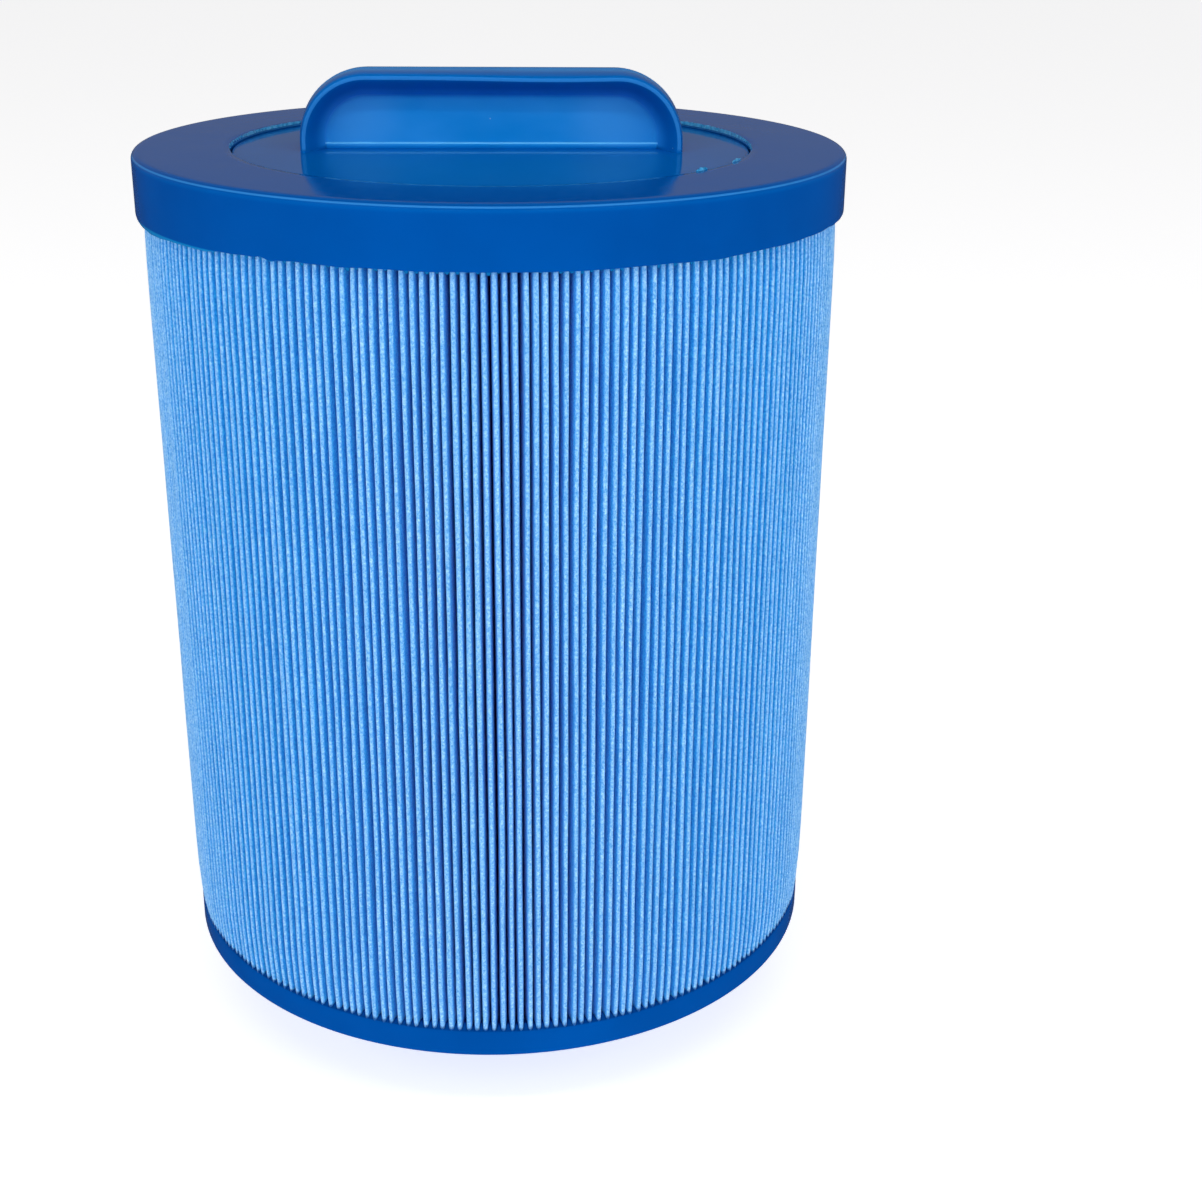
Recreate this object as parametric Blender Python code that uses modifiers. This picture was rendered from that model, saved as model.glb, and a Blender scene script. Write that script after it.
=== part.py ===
"""Spa filter cartridge: a ring of pleated fabric round a perforated core, potted into two cast end caps.

The axis is +Z and the origin is the centre of the outlet stub's end face, which the cartridge stands on.
The top carries a bar handle whose web lies in the XZ plane. All sizes are in metres.
"""

import math

import bmesh
import bpy

# Driving dimensions
STUB_LENGTH = 0.0240  # stub end face to the bottom cap's outer ring
BODY_HEIGHT = 0.1830  # bottom cap's outer ring to the top cap's upper face
PLATE_RECESS = 0.0009  # top cap's upper face down to the handle plate's
HANDLE_HEIGHT = 0.0165  # above the plate
GAP = 0.0003  # clearance between pieces that touch

BOTTOM_Z = STUB_LENGTH
TOP_Z = STUB_LENGTH + BODY_HEIGHT
PLATE_Z = TOP_Z - PLATE_RECESS

# Top end cap
TOP_CAP_RADIUS = 0.0760
TOP_CAP_SKIRT = 0.0125
RIM_ROUNDING = 0.0014

# Handle plate
PLATE_RADIUS = 0.0553
PLATE_THICKNESS = 0.0040
SPIGOT_OUTER_RADIUS = 0.0266
SPIGOT_INNER_RADIUS = 0.0236
SPIGOT_DEPTH = 0.0120
HANDLE_WIDTH = 0.0820
HANDLE_CORNER_RADIUS = 0.0145
HANDLE_HALF_DEPTH = 0.0080
HANDLE_ROOT = 0.0020  # how far the handle's foot reaches into the plate
WEB_HALF_THICKNESS = 0.0012

# Centre core
CORE_OUTER_RADIUS = 0.0300
CORE_WALL = 0.0030
WINDOW_COLUMNS = 12
WINDOW_ROWS = 8
CORE_END_BAND = 0.0140
CORE_RIB = 0.0060

# Pleated media
PLEAT_COUNT = 244
MEDIA_OUTER_RADIUS = 0.0737
MEDIA_INNER_RADIUS = 0.0312
PLEAT_FOLD_DEPTH = 0.0060  # how deep the folds are drawn in this solid

# Seam bead, lying at the bottom of one wide valley on +Y
BEAD_RADIUS = 0.0008
BEAD_PLACE_RADIUS = MEDIA_OUTER_RADIUS - PLEAT_FOLD_DEPTH + GAP + BEAD_RADIUS

# Bottom end cap
BOTTOM_CAP_RADIUS = 0.0739
BOTTOM_CAP_HEIGHT = 0.0065
GROOVE_OUTER_RADIUS = 0.0622
GROOVE_INNER_RADIUS = 0.0582
GROOVE_DEPTH = 0.0020
INNER_DISC_RISE = 0.0012
BOSS_RADIUS = 0.0310
BOSS_RISE = 0.0065

# Threaded adapter: a 1-1/2 inch taper pipe thread, 11.5 threads to the inch
THREAD_CREST_RADIUS = 0.02413
THREAD_PITCH = 0.0254 / 11.5
THREAD_DEPTH = 0.0014
THREAD_LENGTH = 0.0114
END_CHAMFER = 0.0012
BORE_RADIUS = 0.0178
COLLAR_RADIUS = 0.0256
COLLAR_RISE = 0.0108
SEAT_INNER_RADIUS = THREAD_CREST_RADIUS + GAP  # the collar's flat seat starts outside the thread
FLANGE_RADIUS = 0.0290
FLANGE_THICKNESS = 0.0036
FLANGE_BELOW_BOSS = 0.0019  # boss face to the flange buried in it
ADAPTER_SPIGOT_LENGTH = 0.0100

# Facets round the axis
CAP_STEPS = 64
ADAPTER_STEPS = 48
CORE_STEPS = 3 * WINDOW_COLUMNS  # two facets to a window and one to a rib
BEAD_STEPS = 10
THREAD_ROWS_PER_TURN = 6
MERGE_DISTANCE = 0.00001

COLLECTION_NAME = "filter_cartridge"


def clear_scene():
    for thing in list(bpy.data.objects):
        bpy.data.objects.remove(thing, do_unlink=True)


def new_collection(name):
    collection = bpy.data.collections.new(name)
    bpy.context.scene.collection.children.link(collection)
    return collection


def plastic(name, colour, roughness):
    material = bpy.data.materials.new(name)
    material.use_nodes = True
    shader = material.node_tree.nodes["Principled BSDF"]
    shader.inputs["Base Color"].default_value = (*colour, 1.0)
    shader.inputs["Roughness"].default_value = roughness
    shader.inputs["Metallic"].default_value = 0.0
    return material


def add_object(name, mesh, material, collection):
    thing = bpy.data.objects.new(name, mesh)
    mesh.materials.append(material)
    mesh.shade_smooth()
    mesh.set_sharp_from_angle(angle=math.radians(35))
    collection.objects.link(thing)
    return thing


def mesh_from(name, build):
    """A new mesh filled by build(bmesh), with its faces turned outwards."""
    mesh = bpy.data.meshes.new(name)
    work = bmesh.new()
    build(work)
    bmesh.ops.recalc_face_normals(work, faces=work.faces)
    work.to_mesh(mesh)
    work.free()
    return mesh


def turned(name, profile, steps, closed=True):
    """The mesh that a Screw modifier turns from (radius, z) points, which run down the outer side."""
    count = len(profile)
    edges = [(i, i + 1) for i in range(count - 1)]
    if closed:
        edges.append((count - 1, 0))
    outline = bpy.data.meshes.new(name + "_profile")
    outline.from_pydata([(radius, 0.0, z) for radius, z in profile], edges, [])
    lathe = bpy.data.objects.new(name + "_lathe", outline)
    bpy.context.scene.collection.objects.link(lathe)
    screw = lathe.modifiers.new("turn", "SCREW")
    screw.axis = "Z"
    screw.steps = steps
    screw.render_steps = steps
    screw.use_merge_vertices = True
    screw.merge_threshold = MERGE_DISTANCE
    graph = bpy.context.evaluated_depsgraph_get()
    mesh = bpy.data.meshes.new_from_object(lathe.evaluated_get(graph))
    bpy.data.objects.remove(lathe)
    bpy.data.meshes.remove(outline)
    mesh.name = name
    return mesh


def rounded_corner(radius, z, rounding, start, end, points=4):
    """Profile points along an arc about (radius, z), between two angles in degrees."""
    found = []
    for i in range(points):
        angle = math.radians(start + (end - start) * i / (points - 1))
        found.append((radius + rounding * math.cos(angle), z + rounding * math.sin(angle)))
    return found


def make_top_end_cap(collection, material):
    core_radius = CORE_OUTER_RADIUS + GAP
    under_plate = PLATE_Z - PLATE_THICKNESS - GAP
    skirt_z = TOP_Z - TOP_CAP_SKIRT
    rim = rounded_corner(TOP_CAP_RADIUS - RIM_ROUNDING, TOP_Z - RIM_ROUNDING, RIM_ROUNDING, 90, 0)
    profile = [
        (PLATE_RADIUS + GAP, TOP_Z),
        *rim,
        (TOP_CAP_RADIUS, skirt_z),
        (core_radius, skirt_z),
        (core_radius, under_plate),
        (PLATE_RADIUS + GAP, under_plate),
    ]
    return add_object("top_end_cap", turned("top_end_cap", profile, CAP_STEPS), material, collection)


def handle_outline(inset, corner_steps=8):
    """The handle's arch in (x, z), from one foot over the top to the other, moved inwards by inset."""
    top = PLATE_Z + HANDLE_HEIGHT
    foot_z = PLATE_Z - HANDLE_ROOT
    centre_x = HANDLE_WIDTH / 2 - HANDLE_CORNER_RADIUS
    centre_z = top - HANDLE_CORNER_RADIUS
    radius = HANDLE_CORNER_RADIUS - inset
    quarter = [math.pi / 2 * i / corner_steps for i in range(corner_steps + 1)]
    right = [(centre_x + radius * math.cos(a), centre_z + radius * math.sin(a)) for a in quarter]
    left = [(-x, z) for x, z in reversed(right)]
    return [(HANDLE_WIDTH / 2 - inset, foot_z), *right, *left, (inset - HANDLE_WIDTH / 2, foot_z)]


def handle_stations():
    """(y, inset) pairs from the web's front face, round the front lip and over the rim to the back face."""
    depth = HANDLE_HALF_DEPTH
    front = [
        (-WEB_HALF_THICKNESS, 0.0058),
        (-0.38 * depth, 0.0048),
        (-0.70 * depth, 0.0033),
        (-depth, 0.0019),
        (-depth, 0.0009),
        (-0.92 * depth, 0.0005),
    ]
    return [*front, (0.0, 0.0), *[(-y, inset) for y, inset in reversed(front)]]


def make_handle(name):
    """Web and rim in one mesh: a loft of arches whose inset gives the rim its lip, draft and cove."""

    def build(work):
        rings = []
        for y, inset in handle_stations():
            rings.append([work.verts.new((x, y, z)) for x, z in handle_outline(inset)])
        count = len(rings[0])
        for first, second in zip(rings, rings[1:]):
            for i in range(count):
                following = (i + 1) % count
                work.faces.new((first[i], first[following], second[following], second[i]))
        work.faces.new(rings[0])
        work.faces.new(rings[-1])

    return mesh_from(name, build)


def make_handle_plate(collection, cutters, material):
    underside = PLATE_Z - PLATE_THICKNESS
    profile = [
        (0.0, PLATE_Z),
        (PLATE_RADIUS, PLATE_Z),
        (PLATE_RADIUS, underside),
        (SPIGOT_OUTER_RADIUS, underside),
        (SPIGOT_OUTER_RADIUS, underside - SPIGOT_DEPTH),
        (SPIGOT_INNER_RADIUS, underside - SPIGOT_DEPTH),
        (SPIGOT_INNER_RADIUS, underside),
        (0.0, underside),
    ]
    mesh = turned("handle_plate", profile, CAP_STEPS, closed=False)
    plate = add_object("handle_plate", mesh, material, collection)
    handle = add_object("handle_bar", make_handle("handle_bar"), material, cutters)
    handle.hide_render = True
    handle.display_type = "WIRE"
    join = plate.modifiers.new("join_handle", "BOOLEAN")
    join.operation = "UNION"
    join.object = handle
    return plate


def core_levels():
    """Heights of the core's rings, from the top down: every second band between them holds the windows."""
    high = PLATE_Z - PLATE_THICKNESS - GAP
    low = core_bottom()
    open_height = high - low - 2 * CORE_END_BAND - (WINDOW_ROWS - 1) * CORE_RIB
    window = open_height / WINDOW_ROWS
    levels = [high]
    for i in range(WINDOW_ROWS):
        window_top = high - CORE_END_BAND - i * (window + CORE_RIB)
        levels += [window_top, window_top - window]
    return [*levels, low]


def make_centre_core(collection, material):
    """A turned tube surface with its windows left out, thickened into the core's wall."""
    levels = core_levels()
    mesh = turned("centre_core", [(CORE_OUTER_RADIUS, z) for z in levels], CORE_STEPS, closed=False)
    facet = 2 * math.pi / CORE_STEPS

    def is_window(face):
        centre = face.calc_center_median()
        column = int(math.atan2(centre.y, centre.x) % (2 * math.pi) / facet)
        row = sum(centre.z < z for z in levels) - 1
        return row % 2 == 1 and column % 3 != 0

    work = bmesh.new()
    work.from_mesh(mesh)
    windows = [face for face in work.faces if is_window(face)]
    bmesh.ops.delete(work, geom=windows, context="FACES")
    work.to_mesh(mesh)
    work.free()
    core = add_object("centre_core", mesh, material, collection)
    wall = core.modifiers.new("wall", "SOLIDIFY")
    wall.thickness = CORE_WALL
    wall.offset = -1.0
    wall.use_even_offset = True
    return core


def core_bottom():
    """Height of the core's lower end, which stands on the adapter's flange."""
    return BOTTOM_Z - BOSS_RISE + FLANGE_BELOW_BOSS + FLANGE_THICKNESS + GAP


def add_outline(curve, points):
    spline = curve.splines.new("POLY")
    spline.points.add(len(points) - 1)
    for point, (x, y) in zip(spline.points, points):
        point.co = (x, y, 0.0, 1.0)
    spline.use_cyclic_u = True


def fold_outline():
    """Crests and valleys of the folded strip. The crest on +Y is missing: the strip's two ends meet there."""
    points = []
    for i in range(2 * PLEAT_COUNT):
        is_crest = i % 2 == 0 and i > 0
        angle = math.pi / 2 + math.pi * i / PLEAT_COUNT
        radius = MEDIA_OUTER_RADIUS - (0.0 if is_crest else PLEAT_FOLD_DEPTH)
        points.append((radius * math.cos(angle), radius * math.sin(angle)))
    return points


def circle_outline(radius, steps):
    turn = 2 * math.pi / steps
    return [(radius * math.cos(turn * i), radius * math.sin(turn * i)) for i in range(steps)]


def make_pleated_media(collection, material):
    """A fluted ring, extruded from its outline between the two end caps."""
    low = BOTTOM_Z + BOTTOM_CAP_HEIGHT + GAP
    high = TOP_Z - TOP_CAP_SKIRT - GAP
    outline = bpy.data.curves.new("pleated_media", "CURVE")
    outline.dimensions = "2D"
    outline.fill_mode = "BOTH"
    outline.extrude = (high - low) / 2
    outline.materials.append(material)
    add_outline(outline, fold_outline())
    add_outline(outline, circle_outline(MEDIA_INNER_RADIUS, CAP_STEPS))
    media = bpy.data.objects.new("pleated_media", outline)
    media.location = (0.0, 0.0, (low + high) / 2)
    collection.objects.link(media)
    return media


def make_media_seam_bead(collection, material):
    """A round bead that lies in the valley on +Y, over the media's whole height."""
    low = BOTTOM_Z + BOTTOM_CAP_HEIGHT + 2 * GAP
    high = TOP_Z - TOP_CAP_SKIRT - 2 * GAP

    def build(work):
        size = {"radius1": BEAD_RADIUS, "radius2": BEAD_RADIUS, "depth": high - low}
        bmesh.ops.create_cone(work, cap_ends=True, segments=BEAD_STEPS, **size)

    bead = add_object("media_seam_bead", mesh_from("media_seam_bead", build), material, collection)
    bead.location = (0.0, BEAD_PLACE_RADIUS, (low + high) / 2)
    return bead


def make_bottom_end_cap(collection, material):
    face = BOTTOM_Z
    top = BOTTOM_Z + BOTTOM_CAP_HEIGHT
    boss_face = face - BOSS_RISE
    flange_low = boss_face + FLANGE_BELOW_BOSS - GAP
    core_radius = CORE_OUTER_RADIUS + GAP
    low_corner = rounded_corner(BOTTOM_CAP_RADIUS - 0.0008, face + 0.0008, 0.0008, 0, -90)
    fillet = rounded_corner(BOSS_RADIUS + 0.0016, face - INNER_DISC_RISE - 0.0016, 0.0016, 90, 180)
    profile = [
        (core_radius, top),
        (BOTTOM_CAP_RADIUS, top),
        *low_corner,
        (GROOVE_OUTER_RADIUS, face),
        (GROOVE_OUTER_RADIUS, face + GROOVE_DEPTH),
        (GROOVE_INNER_RADIUS, face + GROOVE_DEPTH),
        (GROOVE_INNER_RADIUS, face - INNER_DISC_RISE),
        *fillet,
        (BOSS_RADIUS, boss_face),
        (COLLAR_RADIUS + GAP, boss_face),
        (COLLAR_RADIUS + GAP, flange_low),
        (core_radius, flange_low),
    ]
    return add_object("bottom_end_cap", turned("bottom_end_cap", profile, CAP_STEPS), material, collection)


def thread_height(z, angle):
    """How far the thread stands out at a height and angle: 0 at the root, 1 at the crest."""
    start, end = END_CHAMFER, END_CHAMFER + THREAD_LENGTH
    if not start < z < end:
        return 0.0
    phase = (z / THREAD_PITCH - angle / (2 * math.pi)) % 1.0
    tooth = min(1.0, max(0.0, 2.0 - abs(phase - 0.5) * 5.0))
    run_out = min(1.0, (z - start) / (0.5 * THREAD_PITCH), (end - z) / (0.5 * THREAD_PITCH))
    return tooth * run_out


def make_threaded_adapter(collection, material):
    face = BOTTOM_Z - COLLAR_RISE
    flange_low = BOTTOM_Z - BOSS_RISE + FLANGE_BELOW_BOSS
    flange_high = flange_low + FLANGE_THICKNESS
    spigot_top = flange_high + ADAPTER_SPIGOT_LENGTH
    root = THREAD_CREST_RADIUS - THREAD_DEPTH
    rows = round(THREAD_LENGTH / THREAD_PITCH * THREAD_ROWS_PER_TURN)
    thread_levels = [END_CHAMFER + THREAD_LENGTH * i / rows for i in range(rows + 1)]
    profile = [
        (BORE_RADIUS, 0.0),
        (BORE_RADIUS, flange_high),
        (SPIGOT_INNER_RADIUS, spigot_top),
        (SPIGOT_OUTER_RADIUS, spigot_top),
        (SPIGOT_OUTER_RADIUS, flange_high),
        (FLANGE_RADIUS, flange_high),
        (FLANGE_RADIUS, flange_low),
        (COLLAR_RADIUS, flange_low),
        (COLLAR_RADIUS, face),
        (SEAT_INNER_RADIUS, face),
        *[(root, z) for z in reversed(thread_levels)],
        (root - 0.4 * END_CHAMFER, 0.0),
    ]
    mesh = turned("threaded_adapter", profile, ADAPTER_STEPS)
    for vertex in mesh.vertices:
        x, y, z = vertex.co
        radius = math.hypot(x, y)
        if abs(radius - root) < GAP / 2:
            grown = (root + THREAD_DEPTH * thread_height(z, math.atan2(y, x))) / radius
            vertex.co = (x * grown, y * grown, z)
    return add_object("threaded_adapter", mesh, material, collection)


def main():
    clear_scene()
    parts = new_collection(COLLECTION_NAME)
    cutters = new_collection("joined_shapes")
    polyurethane = plastic("cap_polyurethane", (0.0, 0.095, 0.38), 0.22)
    moulded = plastic("handle_plastic", (0.0, 0.11, 0.44), 0.18)
    lattice = plastic("core_plastic", (0.02, 0.16, 0.52), 0.5)
    fabric = plastic("media_fabric", (0.16, 0.42, 0.85), 0.9)
    adhesive = plastic("seam_adhesive", (0.30, 0.55, 0.85), 0.35)
    fitting = plastic("adapter_plastic", (0.0, 0.21, 0.66), 0.25)
    make_top_end_cap(parts, polyurethane)
    make_handle_plate(parts, cutters, moulded)
    make_centre_core(parts, lattice)
    make_pleated_media(parts, fabric)
    make_media_seam_bead(parts, adhesive)
    make_bottom_end_cap(parts, polyurethane)
    make_threaded_adapter(parts, fitting)


main()
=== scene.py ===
"""Looks of the spa filter cartridge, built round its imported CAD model.

The CAD model gives the places and the main sizes. This script builds each piece again in fine detail,
gives it its material, and adds the studio, the lights and the camera. All sizes are in metres, in the
model's own frame: +Z is up along the cartridge, and the handle's web lies in the XZ plane.
"""

import math

import bmesh
import bpy
import numpy as np
from mathutils import Matrix, Vector


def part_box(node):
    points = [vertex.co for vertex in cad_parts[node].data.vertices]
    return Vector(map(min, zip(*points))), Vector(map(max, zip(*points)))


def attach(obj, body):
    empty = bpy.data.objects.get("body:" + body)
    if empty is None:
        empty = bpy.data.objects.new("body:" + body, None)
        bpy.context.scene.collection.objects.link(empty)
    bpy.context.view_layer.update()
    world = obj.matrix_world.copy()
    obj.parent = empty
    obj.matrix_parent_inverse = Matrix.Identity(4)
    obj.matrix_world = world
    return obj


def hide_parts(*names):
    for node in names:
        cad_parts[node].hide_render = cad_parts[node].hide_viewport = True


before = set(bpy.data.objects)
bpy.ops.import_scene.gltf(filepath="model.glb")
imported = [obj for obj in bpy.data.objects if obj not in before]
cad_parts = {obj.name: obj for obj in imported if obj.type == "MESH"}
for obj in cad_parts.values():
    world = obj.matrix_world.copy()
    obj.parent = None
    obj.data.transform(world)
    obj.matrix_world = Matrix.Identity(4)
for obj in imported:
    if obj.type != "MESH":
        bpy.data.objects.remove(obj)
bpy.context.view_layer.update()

# Places that the CAD model gives
TOP_CAP_LOW, TOP_CAP_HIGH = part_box("top_end_cap")
PLATE_LOW, PLATE_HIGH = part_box("handle_plate")
CORE_LOW, CORE_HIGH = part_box("centre_core")
BEAD_LOW, BEAD_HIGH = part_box("media_seam_bead")
BASE_LOW, BASE_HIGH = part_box("bottom_end_cap")
_, FITTING_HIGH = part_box("threaded_adapter")

GAP = 0.0003  # clearance between pieces that touch
TOP_Z = TOP_CAP_HIGH.z  # upper face of the top cap
SKIRT_Z = TOP_CAP_LOW.z  # lower edge of the top cap's skirt
CAP_RADIUS = TOP_CAP_HIGH.x
PLATE_RADIUS = PLATE_HIGH.x
PLATE_THICKNESS = 0.0040
SPIGOT_DEPTH = 0.0120
PLATE_Z = PLATE_LOW.z + SPIGOT_DEPTH + PLATE_THICKNESS  # upper face of the plate, a little below the cap's
HANDLE_TOP_Z = PLATE_HIGH.z
CORE_RADIUS = CORE_HIGH.x
BASE_RADIUS = BASE_HIGH.x
BASE_TOP_Z = BASE_HIGH.z  # upper face of the bottom cap, where the pleats come out
BASE_HEIGHT = 0.0065
BASE_Z = BASE_TOP_Z - BASE_HEIGHT  # flat outer ring of the bottom cap's underside
BOSS_Z = BASE_LOW.z

# Top end cap and handle plate
RIM_ROUNDING = 0.0014
PLATE_EDGE_ROUNDING = 0.0003
SKIRT_SAGS = (  # where the skirt's edge hangs lower: angle and half width in degrees, how far (- is a nick)
    (-125, 1.2, -0.00030),
    (-123, 1.0, 0.00035),
    (-138, 9, 0.00035),
    (-153, 24, 0.00110),
    (-57, 9, 0.00025),
)
POTTING_SAGS = ((-40, 30, 0.0009), (-148, 28, 0.0014))  # the same for the potting under the top cap
SEAM_SLIVERS = (  # flash along the seam round the plate: from and to angles in degrees, height and width
    (2, 44, 0.00045, 0.0006),
    (-9, 2, 0.0003, 0.0004),
    (-29, -24, 0.0005, 0.0004),
    (-44, -40, 0.0006, 0.0004),
    (139, 176, 0.0003, 0.0006),
    (177, 186, 0.0003, 0.0004),
)
SPIGOT_OUTER_RADIUS = 0.0266
SPIGOT_INNER_RADIUS = 0.0236
HANDLE_WIDTH = 0.0820
HANDLE_CORNER_RADIUS = 0.0145
HANDLE_HALF_DEPTH = 0.0080
HANDLE_ROOT = 0.0020
WEB_HALF_THICKNESS = 0.0012
LIP_SAG = 0.00045  # how far the front lip hangs, most at LIP_SAG_PLACE along x
LIP_SAG_PLACE = 0.012
LIP_SAG_WIDTH = 0.016
LIP_SAG_START = 0.008  # height above the plate where the sag begins
WEB_FOOT_HEIGHT = 0.0011  # fillet along the foot of the web, with a fine step at its upper edge
WEB_FOOT_REACH = 0.0009

# Centre core
WINDOW_COLUMNS = 12
WINDOW_ROWS = 8
CORE_WALL = 0.0030
CORE_END_BAND = 0.0140
CORE_RIB = 0.0060

# Pleated strip
PLEAT_COUNT = 244
PITCH = 2 * math.pi / PLEAT_COUNT
FABRIC_THICKNESS = 0.0004
FOLD_RADIUS_OUT = 0.0736  # crests where they come out of the caps
FOLD_BULGE = 0.0009  # how much further out they stand away from the caps
FOLD_RELEASE = 0.0050  # how far from a cap the crests have mostly sprung out
FOLD_RADIUS_IN = CORE_RADIUS + 0.0012
TIP_HALF_WIDTH = 0.00050
POTTED_DEPTH = 0.0020  # how far the strip runs into each cap
STRIP_ROWS = 29
SEAM_FLOOR = BEAD_LOW.y - 0.0002

# Bottom end cap
GROOVE_OUTER_RADIUS = 0.0622
GROOVE_INNER_RADIUS = 0.0582
GROOVE_DEPTH = 0.0020
INNER_DISC_RISE = 0.0012
BOSS_RADIUS = 0.0310

# Threaded adapter
THREAD_CREST_RADIUS = 0.02413
THREAD_PITCH = 0.0254 / 11.5
THREAD_DEPTH = 0.0014
THREAD_LENGTH = 0.0114
END_CHAMFER = 0.0012
BORE_RADIUS = 0.0178
COLLAR_RADIUS = 0.0256
COLLAR_Z = 0.0132
FLANGE_RADIUS = 0.0290
FLANGE_LOW_Z = BOSS_Z + 0.0019
FLANGE_HIGH_Z = FLANGE_LOW_Z + 0.0036

# Facets
COLUMNS_PER_PLEAT = 8
TURNED_STEPS = 256
THREAD_STEPS = 192
THREAD_ROWS_PER_TURN = 14

# Camera, close in front of the cartridge and a little above it
CAMERA_PLACE = Vector((0.0, -0.401, TOP_Z + 0.0565))
CAMERA_LENS = 54.41
CAMERA_PITCH = math.radians(22.13)
CAMERA_YAW = math.radians(3.49)
CAMERA_ROLL = math.radians(0.57)


# ---------------------------------------- mesh helpers


def placed(name, data):
    """A new object in the scene."""
    thing = bpy.data.objects.new(name, data)
    bpy.context.scene.collection.objects.link(thing)
    return thing


def add_piece(name, mesh, materials, node, sharp_degrees=35.0):
    """A new object for the mesh: it stands for a CAD node and rides on the only body."""
    for material in materials:
        mesh.materials.append(material)
    mesh.shade_smooth()
    mesh.set_sharp_from_angle(angle=math.radians(sharp_degrees))
    piece = placed(name, mesh)
    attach(piece, "root")
    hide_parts(node)
    return piece


def arc(centre_radius, centre_z, rounding, start, end, points):
    """Profile points (radius, z) along an arc between two angles in degrees."""
    turns = np.radians(np.linspace(start, end, points))
    return [(centre_radius + rounding * math.cos(a), centre_z + rounding * math.sin(a)) for a in turns]


def ring_mesh(name, angles, profiles):
    """A closed mesh turned about Z. profiles[column, point] is (radius, z), running down the outer side."""
    columns, points = profiles.shape[:2]
    radius = profiles[..., 0]
    corners = np.stack(
        [radius * np.cos(angles)[:, None], radius * np.sin(angles)[:, None], profiles[..., 1]], axis=-1
    )
    ids = np.arange(columns * points).reshape(columns, points)
    along = np.roll(ids, -1, axis=1)
    faces = np.stack([ids, along, np.roll(along, -1, axis=0), np.roll(ids, -1, axis=0)], axis=-1)
    mesh = bpy.data.meshes.new(name)
    mesh.from_pydata(corners.reshape(-1, 3).tolist(), [], faces.reshape(-1, 4).tolist())
    return mesh


def turned_mesh(name, profile, steps, shape=None):
    """One (radius, z) profile turned about Z; shape(angles, profiles) may change it from column to column."""
    angles = np.arange(steps) * 2 * math.pi / steps
    profiles = np.repeat(np.array(profile)[None, :, :], steps, axis=0)
    if shape:
        profiles = shape(angles, profiles)
    return ring_mesh(name, angles, profiles)


def mesh_from(work, name):
    """A new mesh out of a bmesh, which is freed."""
    mesh = bpy.data.meshes.new(name)
    work.to_mesh(mesh)
    work.free()
    return mesh


def cleaned(mesh):
    """The same mesh with points on the axis merged and faces turned outwards."""
    distance = 0.000002
    work = bmesh.new()
    work.from_mesh(mesh)
    bmesh.ops.remove_doubles(work, verts=work.verts, dist=distance)
    bmesh.ops.dissolve_degenerate(work, edges=work.edges, dist=distance)
    bmesh.ops.recalc_face_normals(work, faces=work.faces)
    work.to_mesh(mesh)
    work.free()
    return mesh


def loft(name, rings):
    """A closed mesh through rings of points, with one face over each end."""
    work = bmesh.new()
    corners = [[work.verts.new(point) for point in ring] for ring in rings]
    for first, second in zip(corners, corners[1:]):
        for j in range(len(first)):
            following = (j + 1) % len(first)
            work.faces.new((first[j], first[following], second[following], second[j]))
    work.faces.new(corners[0])
    work.faces.new(corners[-1])
    bmesh.ops.recalc_face_normals(work, faces=work.faces)
    return mesh_from(work, name)


def united(name, body, additions):
    """The mesh of body with every addition joined to it as one solid."""
    base = placed(body.name, body)
    others = [placed(mesh.name, mesh) for mesh in additions]
    for other in others:
        join = base.modifiers.new(other.name, "BOOLEAN")
        join.operation = "UNION"
        join.solver = "EXACT"
        join.object = other
    graph = bpy.context.evaluated_depsgraph_get()
    mesh = bpy.data.meshes.new_from_object(base.evaluated_get(graph))
    mesh.name = name
    for thing in [base, *others]:
        bpy.data.objects.remove(thing)
    return mesh


def smooth(share):
    """A share from 0 to 1, eased at both ends."""
    return share * share * (3 - 2 * share)


def wander(angles, seed, waves, slowest):
    """A smooth random value from about -1 to 1 round the axis."""
    random = np.random.default_rng(seed)
    total = np.zeros_like(angles)
    for i in range(waves):
        total += random.uniform(-1, 1) * np.sin((slowest + 2 * i) * angles + random.uniform(0, 2 * math.pi))
    return total / math.sqrt(waves)


def bump_at(angles, place, width):
    """1 at an angle in degrees, falling smoothly to 0 at width degrees on each side."""
    off = np.degrees(np.angle(np.exp(1j * (angles - math.radians(place)))))
    return smooth(np.clip(1.0 - np.abs(off) / width, 0.0, 1.0))


def sags(angles, places):
    """The sum of smooth bumps, each given as (angle, half width, height)."""
    return sum(height * bump_at(angles, place, width) for place, width, height in places)


# ---------------------------------------- pleats


def drift(random, knots, rows):
    """Values from -1 to 1 for each pleat and row, smooth along the pleat and like its neighbours'."""
    coarse = random.uniform(-1.0, 1.0, (PLEAT_COUNT, knots))
    coarse = 0.5 * coarse + 0.25 * (np.roll(coarse, 1, axis=0) + np.roll(coarse, -1, axis=0))
    place = np.linspace(0.0, knots - 1.0, rows)
    low = np.minimum(place.astype(int), knots - 2)
    share = smooth(place - low)
    return coarse[:, low] * (1 - share) + coarse[:, low + 1] * share


EVEN_ANGLE = (math.pi / 2 + PITCH * np.arange(PLEAT_COUNT))[:, None]  # pleats at an even spacing


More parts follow.
